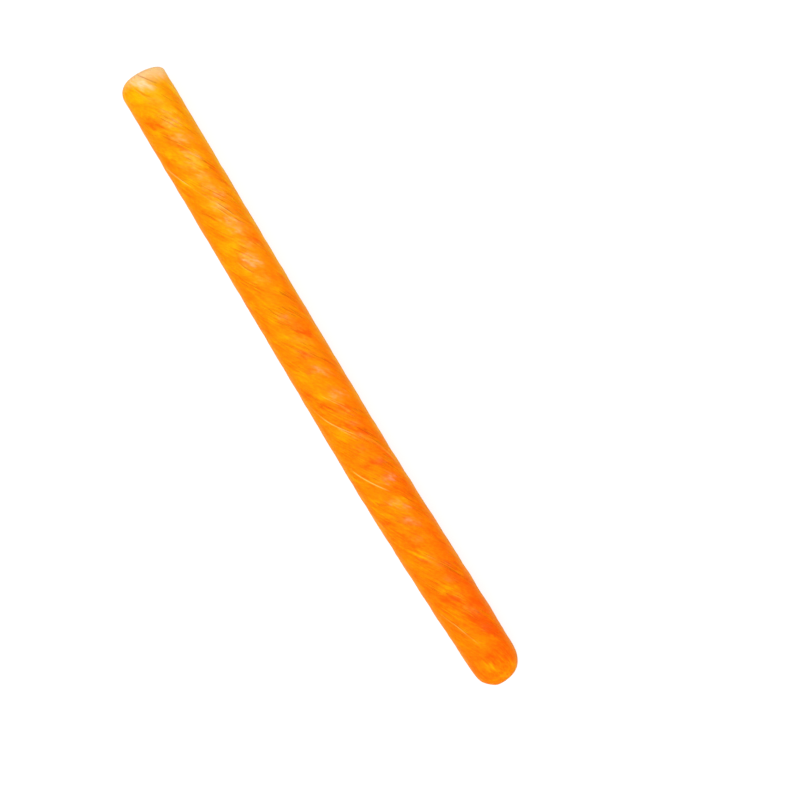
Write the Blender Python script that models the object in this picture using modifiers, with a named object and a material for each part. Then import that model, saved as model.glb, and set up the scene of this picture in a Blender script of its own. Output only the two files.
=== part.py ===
"""Old-fashioned candy stick: one solid rod of pulled and twisted sugar, lying on its side.

Metres, +Z up. +X runs along the stick, from its pale cut end to its dark rounded end. The origin is
on the surface that the stick lies on, under the middle of its box.

The rod starts as a turned blank, and each of its points is then moved as the sugar was worked: the
ends are cut and rounded unevenly, the strands are twisted, the rod is bent a little, and its
underside is flattened where it cooled on the table.
"""

import math
from dataclasses import dataclass

import bmesh
import bpy

MM = 0.001

# Driving dimensions of the rod.
LENGTH = 127.0 * MM  # a five-inch stick, end to end
RADIUS = 4.52 * MM  # along most of its length
SWELL = 0.14 * MM  # how much thicker it is at its thickest
SWELL_AT = 31.0 * MM
SWELL_REACH = 20.0 * MM
TAPER = 0.13 * MM  # how much thinner it gets towards the dark end
TAPER_FROM = 45.0 * MM

# The twist is left-handed, and slackens towards the dark end.
PITCH = 44.0 * MM
SLACK_PITCH = 66.0 * MM
SLACK_AT = 46.0 * MM
SLACK_REACH = 4.0 * MM
STRANDS = 7
STRAND_RELIEF = 0.024 * MM
FINE_STRANDS = 11
FINE_RELIEF = 0.016 * MM

# The rod is straight up to the bend, and straight again after it.
BEND_SLOPE = 0.029
BEND_AT = 19.5 * MM
BEND_REACH = 8.0 * MM

# The underside: how deep the round rod is pressed flat, and where round it the strands' relief fades
# out above the flat. These are heights below the axis, as shares of the radius.
FLAT_DEPTH = 0.18 * MM
FADE_FROM = 0.85
FADE_TO = 0.95

# The blank's mesh. Both its ends are rounded alike.
SEGMENTS = 48
SIDE_RINGS = 78
END_RINGS = 9
BLANK_ROUNDING = 3.5 * MM
BLANK_ROUNDNESS = 2.4
END_STRETCH = 9.0 * MM  # the rings this near an end follow its cut

NAME = "candy_stick"


@dataclass(frozen=True)
class End:
    """One end of the rod, as it differs between its +Y side and its -Y side.

    rounding is how far back the end's rounded edge starts. roundness is the power of its curve: 2 is
    an ellipse, and more is squarer. slant is how far the cut leans back at +Y and forward at -Y.
    """

    rounding: tuple
    roundness: tuple
    slant: float


PALE_END = End(rounding=(1.8 * MM, 3.6 * MM), roundness=(2.2, 2.7), slant=0.05 * MM)
DARK_END = End(rounding=(5.5 * MM, 6.0 * MM), roundness=(2.55, 2.9), slant=0.35 * MM)

# A flat snapped off the -Y side of the dark end. It starts this far off the axis.
FACET_FROM = 2.0 * MM
FACET_SLOPE = 0.95
FACET_EDGE = 0.3 * MM  # how softly it meets the rounding


def smoothstep(share):
    share = min(max(share, 0.0), 1.0)
    return share * share * (3.0 - 2.0 * share)


def side_radius(x):
    """The rod's radius at x, before the strands' relief."""
    swell = SWELL * math.exp(-(((x - SWELL_AT) / SWELL_REACH) ** 2))
    taper = TAPER * smoothstep((x - TAPER_FROM) / (LENGTH / 2 - TAPER_FROM))
    return RADIUS + swell - taper


def turns(x):
    """How many turns the strands have made at x, counted from the middle."""
    slackened = SLACK_REACH * math.log1p(math.exp((x - SLACK_AT) / SLACK_REACH))
    return x / PITCH - (1 / PITCH - 1 / SLACK_PITCH) * slackened


def strand_relief(angle, x):
    """How far the twisted strands stand proud of the rod. They are uneven, so two waves beat."""
    strand = angle + 2 * math.pi * turns(x)
    broad = math.cos(STRANDS * strand + 1.1 * math.sin(2 * strand + 0.7))
    fine = math.cos(FINE_STRANDS * strand + 0.9 * math.sin(3 * strand + 2.0))
    pressed = smoothstep((-math.sin(angle) - FADE_FROM) / (FADE_TO - FADE_FROM))
    return (STRAND_RELIEF * broad + FINE_RELIEF * fine) * (1.0 - pressed)


def bend(x):
    """The axis's sideways place at x, with the line between its two ends along X."""

    def path(at):
        past = (at - BEND_AT) / BEND_REACH
        return BEND_SLOPE / 2 * BEND_REACH * (past + math.log(2 * math.cosh(past)))

    half = LENGTH / 2
    chord = (path(half) - path(-half)) / LENGTH
    return path(x) - chord * x


def superellipse(share, rounding, roundness):
    """How far back a rounded end is at this share of the radius."""
    inside = max(1.0 - share**roundness, 0.0)
    return rounding * (1.0 - inside ** (1.0 / roundness))


def end_setback(end, share, sideways):
    """How far back from the tip the end is, at a share of the radius. sideways is 1 at +Y, -1 at -Y."""
    left = (1.0 + sideways) / 2
    rounding = left * end.rounding[0] + (1.0 - left) * end.rounding[1]
    roundness = left * end.roundness[0] + (1.0 - left) * end.roundness[1]
    return superellipse(share, rounding, roundness) + end.slant * share * sideways


def snapped_facet(setback, y):
    """The dark end's setback with the flat cut into it, meeting it in a soft edge."""
    facet = FACET_SLOPE * (-y - FACET_FROM)
    gap = setback - facet
    return (setback + facet + math.sqrt(gap * gap + FACET_EDGE * FACET_EDGE)) / 2


def cut_end(x, share, angle, radius):
    """Where along the rod a point of the blank goes, once the ends are cut."""
    end = DARK_END if x > 0 else PALE_END
    depth = LENGTH / 2 - abs(x)
    reach = min(share, 1.0) if depth < BLANK_ROUNDING else 1.0
    setback = end_setback(end, reach, math.cos(angle))
    if end is DARK_END:
        setback = snapped_facet(setback, reach * radius * math.cos(angle))
    if depth >= BLANK_ROUNDING:
        follow = max(0.0, 1.0 - (depth - BLANK_ROUNDING) / END_STRETCH)
        setback = depth + (setback - BLANK_ROUNDING) * follow
    return math.copysign(LENGTH / 2 - setback, x)


def blank_profile():
    """(x, radius) down the blank's side, from the middle of its +X end to the middle of its -X end."""
    end = []
    for ring in range(END_RINGS + 1):
        turn = math.pi / 2 * ring / END_RINGS
        power = 2 / BLANK_ROUNDNESS
        setback = BLANK_ROUNDING * (1.0 - math.cos(turn) ** power)
        end.append((LENGTH / 2 - setback, RADIUS * math.sin(turn) ** power))
    straight = LENGTH - 2 * BLANK_ROUNDING
    side = [
        (straight * (0.5 - ring / SIDE_RINGS), RADIUS) for ring in range(1, SIDE_RINGS)
    ]
    return end + side + [(-x, radius) for x, radius in reversed(end)]


def turned_blank():
    """A straight round rod along X: the profile, turned by a Screw modifier and made a mesh."""
    profile = blank_profile()
    mesh = bpy.data.meshes.new("blank_profile")
    edges = [(i, i + 1) for i in range(len(profile) - 1)]
    mesh.from_pydata([(x, radius, 0.0) for x, radius in profile], edges, [])
    blank = bpy.data.objects.new("blank", mesh)
    bpy.context.scene.collection.objects.link(blank)
    screw = blank.modifiers.new("turn", "SCREW")
    screw.axis = "X"
    screw.steps = screw.render_steps = SEGMENTS
    screw.use_merge_vertices = True
    screw.merge_threshold = 0.01 * MM
    bpy.context.view_layer.update()
    graph = bpy.context.evaluated_depsgraph_get()
    turned = bpy.data.meshes.new_from_object(blank.evaluated_get(graph))
    bpy.data.objects.remove(blank)
    return turned


def shape_rod(mesh):
    """Moves each point of the blank to where it is on the worked rod, whose underside is then at 0."""
    for vertex in mesh.vertices:
        x, y, z = vertex.co
        share = math.hypot(y, z) / RADIUS
        angle = math.atan2(z, y)
        rod = side_radius(x)
        radius = share * rod + share**2 * strand_relief(angle, x)
        along = cut_end(x, share, angle, rod)
        height = rod - FLAT_DEPTH + radius * math.sin(angle)
        vertex.co = (along, bend(along) + radius * math.cos(angle), max(height, 0.0))


def centre_on_box(mesh):
    """Moves the mesh so that the middle of its box, seen from above, is at the origin."""
    for axis in (0, 1):
        places = [vertex.co[axis] for vertex in mesh.vertices]
        middle = (min(places) + max(places)) / 2
        for vertex in mesh.vertices:
            vertex.co[axis] -= middle


def sugar_material():
    material = bpy.data.materials.new("pulled_sugar")
    material.use_nodes = True
    shader = material.node_tree.nodes["Principled BSDF"]
    shader.inputs["Base Color"].default_value = (0.95, 0.28, 0.01, 1.0)
    shader.inputs["Metallic"].default_value = 0.0
    shader.inputs["Roughness"].default_value = 0.35
    shader.inputs["Subsurface Weight"].default_value = 0.5
    return material


def main():
    for obj in list(bpy.data.objects):
        bpy.data.objects.remove(obj)
    collection = bpy.data.collections.new("Candy_Stick")
    bpy.context.scene.collection.children.link(collection)

    mesh = turned_blank()
    shape_rod(mesh)
    centre_on_box(mesh)
    rod = bmesh.new()
    rod.from_mesh(mesh)
    bmesh.ops.recalc_face_normals(rod, faces=rod.faces)
    rod.to_mesh(mesh)
    rod.free()
    mesh.name = NAME
    mesh.shade_smooth()
    mesh.materials.append(sugar_material())
    collection.objects.link(bpy.data.objects.new(NAME, mesh))


main()
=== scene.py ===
"""Looks of the candy stick: a finely modelled rod of pulled sugar, and a studio seen from above.

The rod repeats the shape of the CAD node that it replaces, on a mesh whose lines follow the twisted
strands. The fibres, folds and seams of the pulled sugar are relief on that mesh. The folds that stand
out, and the clouds at the ends, are listed by place: x is along the stick in millimetres, 0 in its
middle, and across is how far to the side they lie as seen from above, in millimetres from the rod's
middle line. The other clouds are scattered, by a fixed seed.
"""

import math
from dataclasses import dataclass

import bpy
import numpy as np
from mathutils import Matrix, Vector


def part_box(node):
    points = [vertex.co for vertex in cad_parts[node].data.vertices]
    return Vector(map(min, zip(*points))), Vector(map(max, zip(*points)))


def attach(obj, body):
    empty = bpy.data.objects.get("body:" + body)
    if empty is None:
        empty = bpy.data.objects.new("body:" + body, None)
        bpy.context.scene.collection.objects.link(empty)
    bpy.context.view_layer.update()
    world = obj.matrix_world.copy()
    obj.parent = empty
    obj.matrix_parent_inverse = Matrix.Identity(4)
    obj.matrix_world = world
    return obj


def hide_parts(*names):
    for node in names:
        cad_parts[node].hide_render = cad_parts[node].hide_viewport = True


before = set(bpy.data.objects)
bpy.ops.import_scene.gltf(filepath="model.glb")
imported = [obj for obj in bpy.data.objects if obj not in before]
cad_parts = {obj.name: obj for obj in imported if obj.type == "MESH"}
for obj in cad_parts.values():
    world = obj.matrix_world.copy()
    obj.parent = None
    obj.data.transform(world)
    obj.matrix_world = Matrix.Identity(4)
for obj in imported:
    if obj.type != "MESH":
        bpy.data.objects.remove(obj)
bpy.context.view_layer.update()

MM = 0.001

# The rod's form, as in the CAD. All lengths in millimetres.
LENGTH = 127.0
RADIUS = 4.52
SWELL = 0.14
SWELL_AT = 31.0
SWELL_REACH = 20.0
TAPER = 0.13
TAPER_FROM = 45.0
PITCH = 44.0
SLACK_PITCH = 66.0
SLACK_AT = 46.0
SLACK_REACH = 4.0
STRANDS = 7
STRAND_RELIEF = 0.024
FINE_STRANDS = 11
FINE_RELIEF = 0.016
BEND_SLOPE = 0.029
BEND_AT = 19.5
BEND_REACH = 8.0
FLAT_DEPTH = 0.18
FADE_FROM = 0.85
FADE_TO = 0.95
FACET_FROM = 2.0
FACET_SLOPE = 0.95
FACET_EDGE = 0.3

# The fine mesh.
AROUND = 320
SIDE_RINGS = 236
END_RINGS = 24
BLANK_ROUNDING = 3.5
BLANK_ROUNDNESS = 2.4
END_STRETCH = 9.0
MAP_MARGIN = 0.008  # of the map's side

# Relief that is too fine for the CAD.
LUMP_RELIEF = 0.008
DIMPLE_RELIEF = 0.007
FIBRE_RELIEF = 0.006
CLOUD_RAGGEDNESS = 0.24
LOOK_HEIGHT = 478.0  # the folds and clouds are placed as seen from this high above the stick
LOOK_OVER = 10.8  # and from over this x
ACROSS_STRAND = 0.84  # a step round the rod is this share of it across the strands
BUMP_HEIGHT = 0.05  # of the material's own relief
SEED = 7
CLOUD_SEED = 3  # of the scattered clouds

# The studio.
VIEW_WIDTH = 143.27  # how many millimetres the view is wide, at half the stick's height
VIEW_OVER = (10.76, 10.23)  # the x and y, in millimetres, that the camera is straight above
VIEW_TURN = math.radians(58.67)  # how far the stick's +X points below the view's right
LENS = 120.0
SENSOR = 36.0
FLOOR_SIZE = 3.0
FLOOR_DROP = 0.00002


@dataclass(frozen=True)
class End:
    """One end of the rod, as in the CAD: pairs are for its +Y side and its -Y side."""

    rounding: tuple
    roundness: tuple
    slant: float


PALE_END = End(rounding=(1.8, 3.6), roundness=(2.2, 2.7), slant=0.05)
DARK_END = End(rounding=(5.5, 6.0), roundness=(2.55, 2.9), slant=0.35)


@dataclass(frozen=True)
class Seam:
    """A fold between strands, from (x, across) to (x, across), with a raised lip and a groove beside it.

    bow is how far its middle bulges towards +Y, in millimetres. glint is a painted highlight along the
    lip, and glow is how yellow the lip is, partly painted glow of light through the sugar. shade is
    painted shade in the groove. lip and groove are their heights in millimetres.
    """

    start: tuple
    end: tuple
    bow: float = 0.0
    width: float = 0.1
    glint: float = 0.0
    glow: float = 0.0
    shade: float = 0.0
    lip: float = 0.015
    groove: float = 0.015


SEAMS = (
    Seam((-46.6, -4.2), (-41.6, -2.2), bow=0.1, width=0.09, glint=1.1, glow=0.3, shade=1.4, lip=0.03),
    Seam((-41.8, -2.3), (-36.6, 0.1), width=0.09, glint=0.12, glow=0.3, shade=0.6, lip=0.025),
    Seam((-40.5, -1.6), (-33.0, 1.9), width=0.14, glow=0.4, shade=0.4),
    Seam((-36.6, 0.3), (-33.2, 1.9), width=0.08, glint=0.8, shade=1.3, lip=0.03, groove=0.03),
    Seam((-35.9, -0.1), (-32.8, 1.3), width=0.08, glint=0.6, shade=1.1),
    Seam((1.8, -4.2), (7.2, -2.6), bow=-0.15, glint=0.3, glow=0.5, shade=0.5, lip=0.03),
    Seam((6.2, -3.1), (11.9, 0.6), bow=-0.15, width=0.09, glint=1.1, glow=0.6, shade=0.9, lip=0.04),
    Seam((11.8, 0.6), (16.2, 3.4), bow=0.1, width=0.24, glint=0.1, glow=0.8, shade=0.4),
    Seam((15.8, 3.2), (20.5, 4.4), bow=0.1, width=0.2, glint=0.25, glow=0.4, shade=0.3),
    Seam((9.2, -1.6), (11.8, -0.1), width=0.1, glint=0.45, glow=0.6, shade=0.3),
    Seam((17.2, -3.3), (23.6, 0.4), bow=-0.12, width=0.09, glint=1.3, shade=0.8, lip=0.045),
    Seam((23.4, 0.3), (27.0, 2.6), width=0.12, glow=0.3, shade=0.5),
    Seam((24.0, -3.9), (31.8, 0.2), width=0.22, glow=0.9, shade=0.4),
    Seam((30.4, -0.9), (34.8, 1.9), width=0.16, glow=0.6, shade=0.2),
    Seam((33.0, -3.2), (38.8, 0.4), width=0.2, glow=0.8, shade=0.3),
    Seam((47.0, -3.7), (50.4, -2.4), width=0.09, glint=0.3, glow=0.2, shade=0.6),
    Seam((50.0, -2.5), (53.0, -1.5), width=0.08, glint=0.8, shade=1.2, lip=0.03),
    Seam((52.6, -1.7), (55.6, -0.6), width=0.09, glint=0.2, glow=0.2, shade=0.9),
    Seam((2.9, -1.1), (6.9, 1.5), width=0.08, glint=0.5, glow=0.5, shade=0.9, lip=0.03),
    Seam((3.6, -0.4), (6.6, 1.8), width=0.08, glint=0.3, glow=0.3, shade=0.7),
    Seam((14.2, -2.1), (19.8, 1.4), width=0.16, glow=0.8, shade=0.4),
    Seam((13.4, -1.0), (17.6, 1.5), width=0.14, glow=0.5, shade=0.3),
    Seam((-25.4, -1.7), (-22.0, -0.2), bow=-0.2, width=0.1, glint=0.2, glow=0.3, shade=1.2, lip=0.03),
    Seam((-23.4, -3.2), (-17.6, -0.8), width=0.1, shade=0.8, groove=0.03),
    Seam((-21.4, -3.0), (-15.2, -0.8), width=0.16, glow=0.8),
    Seam((-12.0, -0.6), (-8.2, 1.2), width=0.1, glow=0.4, shade=0.4),
    Seam((-15.6, -1.6), (-11.0, 0.4), width=0.12, glow=0.4, shade=0.3),
    Seam((-62.4, -2.1), (-59.0, -0.8), width=0.09, glint=0.3, shade=0.4),
    Seam((-63.9, -0.5), (-60.0, 2.2), bow=-0.1, width=0.13, glow=1.2, shade=1.4, groove=0.06),
)


@dataclass(frozen=True)
class Cloud:
    """A soft patch drawn out along the strands: length and width in millimetres. Some kinds are tone in
    the sugar, and some are painted light on it.
    """

    x: float
    across: float
    length: float
    width: float
    strength: float = 1.0


@dataclass(frozen=True)
class Scatter:
    """Clouds of one kind at random. Each pair is the least and the most that a value may be."""

    count: int
    x: tuple
    across: tuple
    length: tuple
    width: tuple
    strength: tuple

    def clouds(self, rng):
        """One cloud in each equal stretch of x. Weak clouds are more common than strong ones."""
        draws = rng.uniform(0.0, 1.0, (self.count, 5))
        draws[:, 0] = (np.arange(self.count) + draws[:, 0]) / self.count
        draws[:, 4] **= 2
        ranges = np.array([self.x, self.across, self.length, self.width, self.strength])
        values = ranges[:, 0] + draws * (ranges[:, 1] - ranges[:, 0])
        return [Cloud(*row) for row in values.tolist()]


# What stands out at the ends: a cream-coloured streak of painted highlight at the pale one, and yellow
# spots, partly painted glow, at the dark one.
CREAMY_HIGHLIGHT = (
    Cloud(-62.0, -0.5, 1.2, 0.6),
    Cloud(-60.5, 0.5, 0.8, 0.5, 0.4),
    Cloud(-61.5, 3.5, 1.0, 0.8, 0.4),
)
YELLOW_GLOW_SPOTS = (
    Cloud(59.5, -1.5, 1.1, 0.8, 2.3),
    Cloud(62.0, 3.0, 0.9, 0.8, 1.9),
    Cloud(63.0, 0.5, 0.7, 1.4, 1.3),
)

# The clouds in between. The milky ones, the sugar's milkiness with painted sheen on it, lie along the
# middle, the strongest of them in the paler half.
MILK_AND_SHEEN = (
    Scatter(18, (-58.0, -20.0), (0.2, 1.6), (0.6, 1.1), (0.6, 0.9), (0.4, 1.7)),
    Scatter(18, (-14.0, 32.0), (0.0, 2.0), (0.5, 1.1), (0.5, 0.7), (0.2, 0.9)),
    Scatter(8, (32.0, 56.0), (0.0, 2.0), (0.5, 1.1), (0.5, 0.7), (0.1, 0.4)),
)
# The yellow clouds are partly yellower sugar and partly painted glow of light through it.
GLOW = (
    Scatter(76, (-61.0, 62.0), (-3.2, 2.2), (0.6, 1.4), (0.6, 1.1), (0.4, 2.0)),
    Scatter(20, (-60.0, 60.0), (-4.0, -3.0), (0.8, 2.2), (0.5, 0.7), (0.5, 1.3)),
    Scatter(14, (-48.0, 60.0), (2.8, 3.7), (0.7, 1.5), (0.5, 0.7), (0.5, 1.3)),
)
EMBER = (Scatter(68, (-59.0, 60.0), (-3.3, 2.9), (0.6, 1.4), (0.5, 0.9), (0.3, 1.6)),)

# The unseen sides carry the same clouds and seams, turned round the rod and moved along it. The painted
# highlight at the pale end stays at its end.
REPEATS = ((2.2, 9.0), (4.1, -13.0))
HIGHLIGHT_REPEATS = ((3.0, 0.0), (4.2, 0.0))


def smoothstep(share):
    share = np.clip(share, 0.0, 1.0)
    return share * share * (3.0 - 2.0 * share)


def side_radius(x):
    swell = SWELL * np.exp(-(((x - SWELL_AT) / SWELL_REACH) ** 2))
    taper = TAPER * smoothstep((x - TAPER_FROM) / (LENGTH / 2 - TAPER_FROM))
    return RADIUS + swell - taper


def turns(x):
    slackened = SLACK_REACH * np.log1p(np.exp((x - SLACK_AT) / SLACK_REACH))
    return x / PITCH - (1 / PITCH - 1 / SLACK_PITCH) * slackened


def strand_at(angle, x):
    """Which strand is at this angle: an angle that stays the same along a strand."""
    return angle + 2 * math.pi * turns(x)


def bend(x):
    def path(at):
        past = (at - BEND_AT) / BEND_REACH
        return BEND_SLOPE / 2 * BEND_REACH * (past + np.log(2 * np.cosh(past)))

    half = LENGTH / 2
    chord = (path(half) - path(-half)) / LENGTH
    return path(x) - chord * x


def superellipse(share, rounding, roundness):
    inside = np.maximum(1.0 - share**roundness, 0.0)
    return rounding * (1.0 - inside ** (1.0 / roundness))


def end_setback(end, share, sideways):
    left = (1.0 + sideways) / 2
    rounding = left * end.rounding[0] + (1.0 - left) * end.rounding[1]
    roundness = left * end.roundness[0] + (1.0 - left) * end.roundness[1]
    return superellipse(share, rounding, roundness) + end.slant * share * sideways


def snapped_facet(setback, y):
    facet = FACET_SLOPE * (-y - FACET_FROM)
    gap = setback - facet
    return (setback + facet + np.sqrt(gap * gap + FACET_EDGE * FACET_EDGE)) / 2


def cut_end(x, share, angle, radius):
    """Where along the rod the points of the blank go, once the ends are cut."""
    depth = LENGTH / 2 - np.abs(x)
    on_face = depth < BLANK_ROUNDING
    reach = np.where(on_face, np.minimum(share, 1.0), 1.0)
    sideways = np.cos(angle)
    pale = end_setback(PALE_END, reach, sideways)
    dark = snapped_facet(end_setback(DARK_END, reach, sideways), reach * radius * sideways)
    setback = np.where(x > 0, dark, pale)
    follow = np.maximum(0.0, 1.0 - (depth - BLANK_ROUNDING) / END_STRETCH)
    behind = depth + (setback - BLANK_ROUNDING) * follow
    return np.sign(x) * (LENGTH / 2 - np.where(on_face, setback, behind))


def blank_rings():
    """(x, share of the radius) of each ring of the blank, from its -X end to its +X end."""
    turn = math.pi / 2 * np.arange(1, END_RINGS + 1) / END_RINGS
    power = 2 / BLANK_ROUNDNESS
    tip = LENGTH / 2 - BLANK_ROUNDING * (1.0 - np.cos(turn) ** power)
    share = np.sin(turn) ** power
    straight = LENGTH / 2 - BLANK_ROUNDING
    side = straight * (2 * np.arange(1, SIDE_RINGS) / SIDE_RINGS - 1)
    x = np.concatenate([-tip, side, tip[::-1]])
    return x, np.concatenate([share, np.ones(len(side)), share[::-1]])


class Waves:
    """Smooth seeded noise on the rod: a sum of waves round it and along it, about -1 to 1."""

    def __init__(self, rng, around, along, count=24):
        self.around = rng.integers(around[0], around[1] + 1, count)
        self.along = rng.uniform(-1.0, 1.0, count) * 2 * math.pi / along
        self.start = rng.uniform(0.0, 2 * math.pi, count)
        self.size = 1.6 / math.sqrt(count)

    def at(self, turn, x):
        total = np.zeros(np.broadcast(turn, x).shape)
        for around, along, start in zip(self.around, self.along, self.start):
            total += np.cos(around * turn + along * x + start)
        return total * self.size


def strand_relief(strand):
    broad = np.cos(STRANDS * strand + 1.1 * np.sin(2 * strand + 0.7))
    fine = np.cos(FINE_STRANDS * strand + 0.9 * np.sin(3 * strand + 2.0))
    return STRAND_RELIEF * broad + FINE_RELIEF * fine


def angle_of(x, across):
    """The angle round the rod, 0 at +Y and a quarter turn at the top, of a place seen from above."""
    return math.acos(max(-1.0, min(1.0, across / float(side_radius(x)))))


def round_gap(strand, other):
    """How far apart two strands are round the rod, in turns of -pi to pi."""
    return (strand - other + math.pi) % (2 * math.pi) - math.pi


def placed(items, repeats):
    """Each item with its turn round the rod and its move along it: where it is seen, then repeated."""
    for item in items:
        for turn, move in ((0.0, 0.0), *repeats):
            yield item, turn, move


def seam_fields(strand, x):
    """How much painted glint, how yellow (partly painted glow), how much painted shade and how high the
    seams make each point.
    """
    glint, glow, shade, relief = np.zeros((4, *x.shape))
    for seam, turn, move in placed(SEAMS, REPEATS):
        first = strand_at(angle_of(*seam.start) + turn, seam.start[0])
        last = strand_at(angle_of(*seam.end) + turn, seam.end[0])
        run = (x - seam.start[0] - move) / (seam.end[0] - seam.start[0])
        drift = turns(seam.start[0] + move) - turns(seam.start[0])
        middle = first + (last - first) * run + 2 * math.pi * drift
        middle = middle - seam.bow / RADIUS * 4 * run * (1 - run)
        off = round_gap(strand, middle) * RADIUS * ACROSS_STRAND
        held = smoothstep((run + 0.08) / 0.3) * smoothstep((1.08 - run) / 0.3)
        lip = np.exp(-((off / seam.width) ** 2)) * held
        groove = np.exp(-(((off + 1.7 * seam.width) / seam.width) ** 2)) * held
        glint += seam.glint * lip
        glow += seam.glow * lip
        shade += seam.shade * groove
        relief += seam.lip * lip - seam.groove * groove
    return glint, glow, shade, relief


def cloud_field(clouds, strand, x, ragged, repeats=REPEATS):
    """How strongly the clouds show at each point. ragged moves the points, so that edges are uneven."""
    strand = strand + ragged[0] / RADIUS
    x = x + ragged[1]
    total = np.zeros_like(x)
    for cloud, turn, move in placed(clouds, repeats):
        at = strand_at(angle_of(cloud.x, cloud.across) + turn, cloud.x)
        at += 2 * math.pi * (turns(cloud.x + move) - turns(cloud.x))
        sideways = round_gap(strand, at) * RADIUS * ACROSS_STRAND / cloud.width
        along = (x - cloud.x - move) / cloud.length
        total += cloud.strength * np.exp(-(along**2) - sideways**2)
    return total


def all_clouds(scatters, rng):
    return [cloud for scatter in scatters for cloud in scatter.clouds(rng)]


def rod_points():
    """The rod's points, ring by ring, with what the material needs to know at each."""
    ring_x, ring_share = blank_rings()
    grid = 2 * math.pi * np.arange(AROUND) / AROUND
    x = np.repeat(ring_x[:, None], AROUND, 1)
    share = np.repeat(ring_share[:, None], AROUND, 1)
    strand = np.repeat(grid[None, :], len(ring_x), 0)
    angle = strand - 2 * math.pi * turns(x)

    rng = np.random.default_rng(SEED)
    lumps = Waves(rng, (1, 6), 5.0)
    dimples = Waves(rng, (4, 18), 1.6, 36)
    fibres = Waves(rng, (38, 90), 24.0, 40)
    patches = Waves(rng, (1, 5), 7.0)
    wander = [Waves(rng, (8, 34), 1.3, 40), Waves(rng, (8, 34), 1.3, 40)]

    rod = side_radius(x)
    along = cut_end(x, share, angle, rod)
    # A point high on the rod is seen a little further from LOOK_OVER than it is.
    seen_x = along + (along - LOOK_OVER) * rod * np.sin(angle) / LOOK_HEIGHT
    seen = strand_at(angle, seen_x)
    glint, seam_glow, shade, seam_relief = seam_fields(seen, seen_x)
    relief = strand_relief(strand) + LUMP_RELIEF * lumps.at(angle, x) + seam_relief
    relief += DIMPLE_RELIEF * dimples.at(strand, x)
    relief += FIBRE_RELIEF * fibres.at(strand, x) * (0.7 + 0.5 * patches.at(strand, x))
    relief *= 1.0 - smoothstep((-np.sin(angle) - FADE_FROM) / (FADE_TO - FADE_FROM))
    radius = share * rod + share**2 * relief
    y = bend(along) + radius * np.cos(angle)
    z = np.maximum(rod - FLAT_DEPTH + radius * np.sin(angle), 0.0)
    ragged = [CLOUD_RAGGEDNESS * waves.at(strand, x) for waves in wander]
    rng = np.random.default_rng(CLOUD_SEED)
    milk_and_sheen, glow, ember = (all_clouds(kind, rng) for kind in (MILK_AND_SHEEN, GLOW, EMBER))
    fields = {
        "glint": glint,
        "shade": shade,
        "creamy_highlight": cloud_field(CREAMY_HIGHLIGHT, seen, seen_x, ragged, HIGHLIGHT_REPEATS),
        "milk_and_sheen": cloud_field(milk_and_sheen, seen, seen_x, ragged),
        "glow": cloud_field([*glow, *YELLOW_GLOW_SPOTS], seen, seen_x, ragged) + seam_glow,
        "ember": cloud_field(ember, seen, seen_x, ragged),
        "side": np.cos(angle) * share,
        "crown": np.sin(angle) * share,
    }
    spun = np.stack([along, radius * np.cos(strand), radius * np.sin(strand)], -1)
    return np.stack([along, y, z], -1), spun, fields


def fit_to_box(points, box):
    """Moves the points, a hair's breadth, so that their box is exactly the CAD node's box."""
    low, high = (np.array(corner) for corner in box)
    first = points.min((0, 1))
    last = points.max((0, 1))
    return low + (points - first) * (high - low) / (last - first)


def rod_faces(rings):
    """Quads between the rings, and a fan of triangles on each end's middle point."""
    here = np.arange(AROUND)
    beside = (here + 1) % AROUND
    faces = []
    for ring in range(rings - 1):
        base = ring * AROUND
        above = base + AROUND
        quads = np.stack([base + here, base + beside, above + beside, above + here], -1)
        faces += quads.tolist()
    first_pole = rings * AROUND
    last = (rings - 1) * AROUND
    faces += [(first_pole, b, a) for a, b in zip(here.tolist(), beside.tolist())]
    faces += [(first_pole + 1, last + a, last + b) for a, b in zip(here.tolist(), beside.tolist())]
    return faces


def map_corners(rings):
    """(row, column, half) of each corner of rod_faces, as it lies when the rod is unrolled.

    A row is a ring, or an end's middle point. half is false in the rod's -X half and true in the other.
    """
    here = np.arange(AROUND)
    quad = np.stack([here, here + 1, here + 1, here], -1)
    groups = [([row, row, row + 1, row + 1], quad) for row in range(1, rings)]
    groups.append(([0, 1, 1], np.stack([here + 0.5, here + 1, here], -1)))
    groups.append(([rings + 1, rings, rings], np.stack([here + 0.5, here, here + 1], -1)))
    rows = np.concatenate([np.tile(row, AROUND) for row, _ in groups])
    columns = np.concatenate([column.ravel() for _, column in groups])
    halves = np.concatenate([np.full(column.size, min(row) > rings // 2) for row, column in groups])
    return rows, columns, halves


def lay_out_map(mesh):
    """Unrolls the rod onto a square, for baking: a strip for each half, one above the other."""
    x, share = blank_rings()
    steps = np.hypot(np.diff(x), RADIUS * np.diff(share))
    run = np.cumsum([0.0, RADIUS * share[0], *steps, RADIUS * share[-1]])
    rows, columns, halves = map_corners(len(x))
    split = run[len(x) // 2 + 1]
    along = np.where(halves, run[rows] - split, run[rows]) / max(split, run[-1] - split)
    across = (1.0 - 4 * MAP_MARGIN) * columns / AROUND
    u = MAP_MARGIN + (1.0 - 2 * MAP_MARGIN) * along
    v = MAP_MARGIN + (across + halves) / 2
    places = np.stack([u, v], -1).astype(np.float32)
    mesh.uv_layers.new(name="OFBake").uv.foreach_set("vector", places.ravel())


def with_poles(grid):
    """The grid's points in a row, then the middle point of each end, the mean of the ring round it."""
    row = grid.reshape(-1, *grid.shape[2:])
    poles = np.stack([grid[0].mean(0), grid[-1].mean(0)])
    return np.concatenate([row, poles])


def add_field(mesh, name, values):
    kind, slot = ("FLOAT_VECTOR", "vector") if values.ndim == 2 else ("FLOAT", "value")
    attribute = mesh.attributes.new(name, kind, "POINT")
    attribute.data.foreach_set(slot, values.astype(np.float32).ravel())


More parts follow.
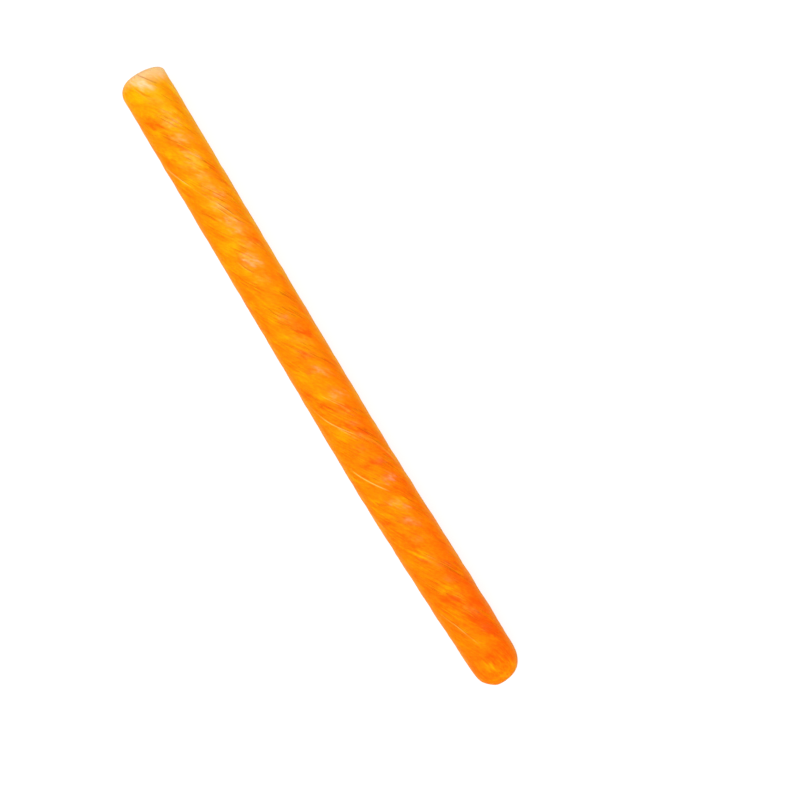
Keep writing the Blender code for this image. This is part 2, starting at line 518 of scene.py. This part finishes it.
def build_rod():
    points, spun, fields = rod_points()
    points = fit_to_box(points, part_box("candy_stick"))
    mesh = bpy.data.meshes.new("pulled_sugar_rod")
    mesh.from_pydata(with_poles(points).tolist(), [], rod_faces(len(points)))
    add_field(mesh, "spun", with_poles(spun))
    for name, values in fields.items():
        add_field(mesh, name, with_poles(values))
    lay_out_map(mesh)
    mesh.shade_smooth()
    rod = bpy.data.objects.new("pulled_sugar_rod", mesh)
    bpy.context.scene.collection.objects.link(rod)
    return rod


class Nodes:
    """A short way to write a material's node tree."""

    def __init__(self, name):
        self.material = bpy.data.materials.new(name)
        self.material.use_nodes = True
        self.tree = self.material.node_tree
        self.shader = self.tree.nodes["Principled BSDF"]

    def feed(self, value, socket):
        if isinstance(value, bpy.types.NodeSocket):
            self.tree.links.new(value, socket)
        else:
            socket.default_value = value

    def field(self, name, vector=False):
        node = self.tree.nodes.new("ShaderNodeAttribute")
        node.attribute_name = name
        return node.outputs["Vector" if vector else "Fac"]

    def math(self, operation, a, b=0.0, clamp=False):
        node = self.tree.nodes.new("ShaderNodeMath")
        node.operation = operation
        node.use_clamp = clamp
        self.feed(a, node.inputs[0])
        self.feed(b, node.inputs[1])
        return node.outputs[0]

    def add(self, total, *others):
        for other in others:
            total = self.math("ADD", total, other)
        return total

    def times(self, product, *others):
        for other in others:
            product = self.math("MULTIPLY", product, other)
        return product

    def clamped(self, value, factor):
        """value times factor, kept between 0 and 1."""
        return self.math("MULTIPLY", value, factor, clamp=True)

    def part(self, vector, axis):
        node = self.tree.nodes.new("ShaderNodeSeparateXYZ")
        self.feed(vector, node.inputs[0])
        return node.outputs[axis]

    def noise(self, place, scale, detail=2.0, roughness=0.5, distortion=0.0):
        """Smooth noise about 0.5. scale is how many waves it has to a millimetre of each axis."""
        stretch = self.tree.nodes.new("ShaderNodeVectorMath")
        stretch.operation = "MULTIPLY"
        self.feed(place, stretch.inputs[0])
        stretch.inputs[1].default_value = scale
        node = self.tree.nodes.new("ShaderNodeTexNoise")
        node.inputs["Scale"].default_value = 1.0
        node.inputs["Detail"].default_value = detail
        node.inputs["Roughness"].default_value = roughness
        node.inputs["Distortion"].default_value = distortion
        self.feed(stretch.outputs["Vector"], node.inputs["Vector"])
        return node.outputs["Fac"]

    def ease(self, value, low, high, to_low=0.0, to_high=1.0):
        """Goes smoothly from to_low to to_high as value goes from low to high."""
        node = self.tree.nodes.new("ShaderNodeMapRange")
        node.interpolation_type = "SMOOTHSTEP"
        self.feed(value, node.inputs["Value"])
        ends = {"From Min": low, "From Max": high, "To Min": to_low, "To Max": to_high}
        for name, number in ends.items():
            node.inputs[name].default_value = number
        return node.outputs["Result"]

    def ramp(self, value, stops):
        """The colour at value, between stops of (value, colour)."""
        node = self.tree.nodes.new("ShaderNodeValToRGB")
        self.feed(value, node.inputs["Fac"])
        elements = node.color_ramp.elements
        while len(elements) < len(stops):
            elements.new(0.5)
        for element, (place, colour) in zip(elements, stops):
            element.position = place
            element.color = (*colour, 1.0)
        return node.outputs["Color"]

    def mix(self, amount, a, b):
        """Colour a with this amount of colour b. A colour is a socket or (red, green, blue)."""
        node = self.tree.nodes.new("ShaderNodeMix")
        node.data_type = "RGBA"
        factor, *colours = [socket for socket in node.inputs if socket.enabled]
        self.feed(amount, factor)
        for value, socket in zip((a, b), colours):
            self.feed((*value, 1.0) if isinstance(value, tuple) else value, socket)
        return next(socket for socket in node.outputs if socket.enabled)

    def bump(self, height, distance, strength):
        node = self.tree.nodes.new("ShaderNodeBump")
        node.inputs["Strength"].default_value = strength
        node.inputs["Distance"].default_value = distance
        self.feed(height, node.inputs["Height"])
        return node.outputs["Normal"]


# Colours of the sugar, in linear light. The first go from its yellowest to its reddest.
SUGAR = (
    (0.0, (0.99, 0.44, 0.0008)),
    (0.25, (0.985, 0.33, 0.0006)),
    (0.5, (0.98, 0.24, 0.0005)),
    (0.75, (0.975, 0.168, 0.0005)),
    (1.0, (0.97, 0.108, 0.0005)),
)
# Cream is the colour of the milky clouds with their painted sheen, of the painted highlight at the pale
# end and of the painted rim reflection.
CREAM_MILK_AND_SHEEN = (1.0, 0.72, 0.42)
PALE = (0.97, 0.6, 0.27)
AMBER = (0.98, 0.50, 0.12)
HONEY = (0.98, 0.36, 0.03)
STRAW_GLINT = (1.0, 0.70, 0.16)
CREASE_SHADE = (0.45, 0.07, 0.002)


class Sugar:
    """The looks of the sugar, from what is known at each point of the rod.

    Places are in millimetres, and noises follow the strands. x is along the stick. side is 1 at the
    rod's +Y edge and -1 at its -Y edge. steep is 1 at its top and bottom, and 0 at its edges.
    """

    def __init__(self, nodes):
        self.nodes = nodes
        spun = nodes.field("spun", vector=True)
        self.x = nodes.part(spun, "X")
        self.side = nodes.field("side")
        self.steep = nodes.math("ABSOLUTE", nodes.field("crown"))
        self.mottles = nodes.noise(spun, (0.26, 0.40, 0.40), detail=4.0, roughness=0.6)
        self.bands = nodes.noise(spun, (0.07, 0.9, 0.9), detail=3.0, roughness=0.6)
        self.threads = nodes.noise(spun, (0.30, 2.4, 2.4), detail=3.0, roughness=0.6)
        self.hairs = nodes.noise(spun, (0.34, 4.6, 4.6), detail=2.0, roughness=0.6)
        self.grain = nodes.noise(spun, (1.6, 2.2, 2.2), detail=3.0, roughness=0.7)
        self.crackle = nodes.noise(spun, (1.0, 1.4, 1.4), detail=3.0)
        self.swirls = nodes.noise(spun, (0.3, 0.7, 0.7), detail=3.0, roughness=0.6, distortion=1.6)
        self.waves = nodes.noise(spun, (0.1, 1.9, 1.9), detail=1.5)
        self.patches = nodes.ease(nodes.noise(spun, (0.2, 0.35, 0.35), detail=1.0), 0.4, 0.6)
        # Glossy patches: they lower the roughness, and they strengthen the painted sheen of the milky
        # clouds.
        self.sheen_patches = nodes.ease(self.mottles, 0.36, 0.62, 1.0, 0.0)
        self.creases = self.crease_lines()

    def crease_lines(self):
        """Thin creases along the strands, where a noise passes through its middle value."""
        nodes = self.nodes
        off = nodes.math("ABSOLUTE", nodes.math("SUBTRACT", self.waves, 0.5))
        return nodes.times(
            nodes.ease(off, 0.0, 0.035, 1.0, 0.0),
            nodes.ease(self.patches, 0.0, 1.0, 0.15, 1.0),
            nodes.ease(self.x, -62.0, -58.0, 0.2, 1.0),
            nodes.ease(self.x, 57.0, 61.0, 1.0, 0.1),
            nodes.ease(self.steep, 0.4, 0.9, 0.3, 1.0),
        )

    def depth(self):
        """How deep the orange is, 0 to 1. It grows along the stick. Painted shade deepens it towards the
        rod's sides, most on the +Y side, away from the fill lamp, and a painted rim light lessens it
        right at the edges.
        """
        nodes = self.nodes
        # Painted shade: the orange is deeper towards the rod's sides, most on the +Y side, away from the
        # fill lamp.
        lean = nodes.add(self.side, nodes.ease(self.x, -60.0, 60.0, -0.06, 0.25))
        depth = nodes.add(
            nodes.ease(self.x, -90.0, 90.0, 0.19, 0.71),
            nodes.times(lean, lean, nodes.ease(self.x, -60.0, 60.0, 0.4, 0.22)),
            nodes.ease(self.x, -62.0, -54.0, -0.26, 0.0),
            nodes.ease(self.mottles, 0.3, 0.7, -0.06, 0.05),
            nodes.ease(self.bands, 0.3, 0.7, -0.07, 0.07),
            nodes.times(nodes.ease(self.threads, 0.3, 0.7, -0.16, 0.16), self.patches),
            nodes.times(nodes.ease(self.hairs, 0.3, 0.7, -0.08, 0.08), self.patches),
            nodes.ease(self.grain, 0.3, 0.7, -0.10, 0.10),
            # Ember clouds make the sugar deeper, and glow clouds yellower, partly as painted glow.
            nodes.times(nodes.field("ember"), 0.30),
            nodes.times(nodes.field("glow"), -0.20),
        )
        # Painted rim light: the orange is paler right at the rod's edges, most on the +Y side.
        rim_light = nodes.times(
            nodes.ease(self.steep, 0.15, 0.75, 0.36, 0.0),
            nodes.ease(self.side, -1.0, 1.0, 0.65, 1.35),
        )
        return nodes.math("SUBTRACT", depth, rim_light, clamp=True)

    def add_milk_and_sheen(self, colour):
        """Puts the milky clouds, the sugar's milkiness with painted sheen on it, broken up by the
        mottles and a crackle, on the colour.
        """
        nodes = self.nodes
        crackle = nodes.ease(self.crackle, 0.34, 0.62, 0.3, 1.5)
        milk_and_sheen = nodes.times(nodes.field("milk_and_sheen"), nodes.add(self.sheen_patches, 0.5), crackle)
        return nodes.mix(nodes.clamped(milk_and_sheen, 0.15), colour, CREAM_MILK_AND_SHEEN)

    def pale_end(self, colour):
        """Puts the pale end, with the marbling in its cut face and a cream-coloured painted highlight,
        on the colour.
        """
        nodes = self.nodes
        pale = nodes.mix(nodes.ease(self.grain, 0.35, 0.65, 0.0, 0.4), PALE, AMBER)
        off_axis = nodes.add(nodes.times(self.side, self.side), nodes.times(self.steep, self.steep))
        marbling = nodes.times(
            nodes.ease(self.swirls, 0.44, 0.58, 0.0, 0.7),
            nodes.ease(off_axis, 0.3, 0.8, 1.0, 0.0),
        )
        pale = nodes.mix(marbling, pale, HONEY)
        ragged = nodes.add(self.side, nodes.ease(self.bands, 0.3, 0.7, -0.2, 0.2))
        edge = nodes.ease(ragged, -0.6, 0.2, -62.9, -61.0)
        past = nodes.math("SUBTRACT", edge, self.x)
        colour = nodes.mix(nodes.ease(past, -1.8, 2.0), colour, pale)
        # Painted highlight: a cream-coloured streak on the pale end's rounded shoulder.
        return nodes.mix(nodes.clamped(nodes.field("creamy_highlight"), 0.8), colour, CREAM_MILK_AND_SHEEN)

    def colour(self):
        nodes = self.nodes
        colour = nodes.ramp(self.depth(), SUGAR)
        # Painted rim reflection: cream mixed in towards the rod's edges.
        colour = nodes.mix(nodes.ease(self.steep, 0.1, 0.6, 0.1, 0.0), colour, CREAM_MILK_AND_SHEEN)
        colour = self.pale_end(self.add_milk_and_sheen(colour))
        # Painted shade: the thin creases are darkened.
        colour = nodes.mix(nodes.times(self.creases, 0.4), colour, CREASE_SHADE)
        # Painted shade in the seams' grooves.
        colour = nodes.mix(nodes.clamped(nodes.field("shade"), 0.4), colour, CREASE_SHADE)
        # Painted highlight: the glint along the seams' lips, in a straw colour.
        return nodes.mix(nodes.clamped(nodes.field("glint"), 0.45), colour, STRAW_GLINT)

    def roughness(self):
        nodes = self.nodes
        return nodes.add(
            nodes.ease(self.threads, 0.2, 0.8, 0.16, 0.30),
            nodes.ease(self.sheen_patches, 0.0, 1.0, 0.12, 0.0),
            nodes.ease(nodes.field("ember"), 0.0, 1.2, 0.0, 0.10),
        )

    def height(self):
        """The relief that is too fine for the mesh, as a share of BUMP_HEIGHT."""
        nodes = self.nodes
        rough = nodes.add(self.grain, nodes.times(self.threads, 0.7))
        return nodes.math("SUBTRACT", rough, self.creases)


def sugar_material():
    nodes = Nodes("pulled_sugar")
    sugar = Sugar(nodes)
    shader = nodes.shader
    nodes.feed(sugar.colour(), shader.inputs["Base Color"])
    nodes.feed(sugar.roughness(), shader.inputs["Roughness"])
    nodes.feed(nodes.bump(sugar.height(), BUMP_HEIGHT * MM, 0.8), shader.inputs["Normal"])
    shader.inputs["Specular IOR Level"].default_value = 0.025
    shader.inputs["Metallic"].default_value = 0.0
    shader.inputs["IOR"].default_value = 1.5
    shader.inputs["Subsurface Weight"].default_value = 0.15
    shader.inputs["Subsurface Radius"].default_value = (1.0, 0.4, 0.1)
    shader.inputs["Subsurface Scale"].default_value = 0.6 * MM
    return nodes.material


def floor_material():
    nodes = Nodes("white_floor")
    nodes.shader.inputs["Base Color"].default_value = (0.25, 0.25, 0.25, 1.0)
    nodes.shader.inputs["Roughness"].default_value = 0.9
    nodes.shader.inputs["Specular IOR Level"].default_value = 0.0
    nodes.shader.inputs["Emission Color"].default_value = (1.0, 1.0, 1.0, 1.0)
    nodes.shader.inputs["Emission Strength"].default_value = 0.82
    return nodes.material


def build_floor():
    bpy.ops.mesh.primitive_plane_add(size=FLOOR_SIZE, location=(0.0, 0.0, -FLOOR_DROP))
    floor = bpy.context.object
    floor.name = "floor"
    floor.data.materials.append(floor_material())
    floor.visible_glossy = False


def add_softbox(name, tilt, distance, size, power, on_gloss, along=0.0):
    """An area light that faces the stick, tilted from straight above towards +Y, in degrees.

    It either lights the sugar's body, or is what the sugar's surface mirrors. along is how far towards
    +X it then moves.
    """
    light = bpy.data.lights.new(name, "AREA")
    light.shape = "RECTANGLE"
    light.size, light.size_y = size
    light.energy = power
    lamp = bpy.data.objects.new(name, light)
    lean = math.radians(tilt)
    away = Vector((0.0, math.sin(lean), math.cos(lean)))
    lamp.location = away * distance + Vector((along, 0.0, 0.0))
    lamp.rotation_euler = away.to_track_quat("Z", "X").to_euler()
    lamp.visible_diffuse = not on_gloss
    lamp.visible_glossy = on_gloss
    bpy.context.scene.collection.objects.link(lamp)


def light_studio():
    world = bpy.data.worlds.new("studio")
    bpy.context.scene.world = world
    world.use_nodes = True
    background = world.node_tree.nodes["Background"]
    background.inputs["Color"].default_value = (1.0, 1.0, 1.0, 1.0)
    background.inputs["Strength"].default_value = 0.92
    world.cycles_visibility.glossy = False
    world.cycles.sampling_method = "NONE"
    add_softbox("fill", -25.0, 1.0, (0.8, 0.8), 3.6, False)
    add_softbox("sheen", 20.0, 0.6, (0.5, 0.18), 2.5, True, along=-0.325)


def aim_camera():
    """Looks straight down on VIEW_OVER, turned as VIEW_TURN says."""
    data = bpy.data.cameras.new("camera")
    data.lens = LENS
    data.sensor_width = SENSOR
    camera = bpy.data.objects.new("camera", data)
    bpy.context.scene.collection.objects.link(camera)
    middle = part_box("candy_stick")[1].z / 2
    # The camera's right and up, in the stick's frame.
    right = Vector((math.cos(VIEW_TURN), math.sin(VIEW_TURN), 0.0))
    up = Vector((-math.sin(VIEW_TURN), math.cos(VIEW_TURN), 0.0))
    height = middle + VIEW_WIDTH * MM * LENS / SENSOR
    camera.location = (VIEW_OVER[0] * MM, VIEW_OVER[1] * MM, height)
    turn = Matrix((right, up, Vector((0.0, 0.0, 1.0)))).transposed()
    camera.rotation_euler = turn.to_euler()
    bpy.context.scene.camera = camera
    bpy.context.scene.view_settings.view_transform = "Standard"


rod = build_rod()
rod.data.materials.append(sugar_material())
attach(rod, "root")
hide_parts("candy_stick")
build_floor()
light_studio()
aim_camera()
